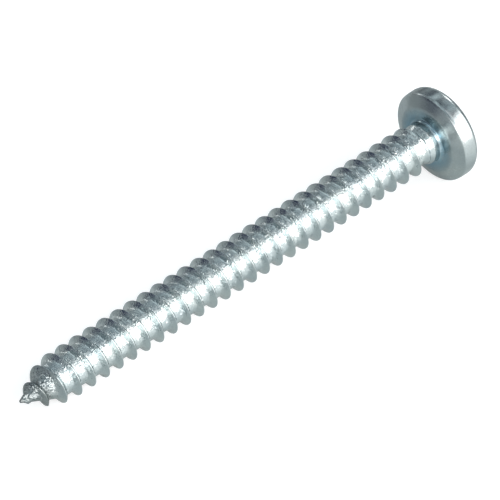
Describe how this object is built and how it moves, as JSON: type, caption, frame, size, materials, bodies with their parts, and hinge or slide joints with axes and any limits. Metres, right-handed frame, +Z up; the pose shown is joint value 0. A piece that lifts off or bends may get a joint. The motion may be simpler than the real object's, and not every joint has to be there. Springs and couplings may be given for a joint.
{
  "type": "sheet metal screw",
  "caption": "Fully threaded pan-head sheet metal screw with a cone point, a flat bearing face and a cross recess, in bright zinc-plated steel.",
  "frame": {"origin": "on the ground under the middle of the lying screw", "axes": "+X along the length from the point to the head, +Z up; the screw's own axis rises by 2.9 degrees towards the head, because it lies on the rim of its head and on the first full turns of its thread"},
  "size_m": [0.053, 0.0092, 0.0093],
  "materials": {
    "screw": "bright zinc plating with a blue-white passivation, smooth on the head and finely crystalline on the thread"
  },
  "bodies": {
    "root": {"screw": "screw"}
  },
  "joints": []
}
